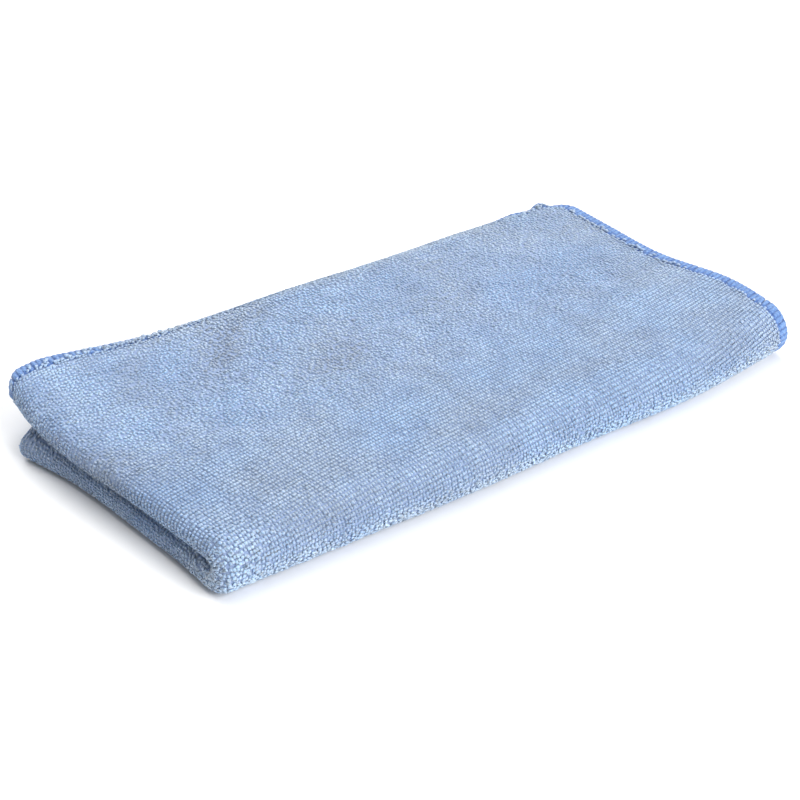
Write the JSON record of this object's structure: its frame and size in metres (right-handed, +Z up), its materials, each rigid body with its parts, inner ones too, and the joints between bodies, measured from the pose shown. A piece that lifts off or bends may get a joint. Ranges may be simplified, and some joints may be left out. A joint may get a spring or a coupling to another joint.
{
  "type": "folded microfibre cloth",
  "caption": "Square terry microfibre cloth with a bright overlocked edge, folded lengthwise, across and lengthwise again into a flat oblong pad for wiping and drying.",
  "frame": {"origin": "under the middle of the folded pad's outline, on the surface it lies on", "axes": "+X along the long side towards the open end with the overlocked edges, -X the end with two stacked folded loops, -Y the long closed fold, +Z up"},
  "size_m": [0.209, 0.1142, 0.0186],
  "materials": {
    "terry": "looped microfibre terry, pale lavender blue, fully matt with a soft sheen",
    "overlock_yarn": "overlocked polyester yarn, bright blue, matt with fine ridges across the band"
  },
  "bodies": {
    "root": {"cloth": "terry", "edging": "overlock_yarn"}
  },
  "joints": []
}
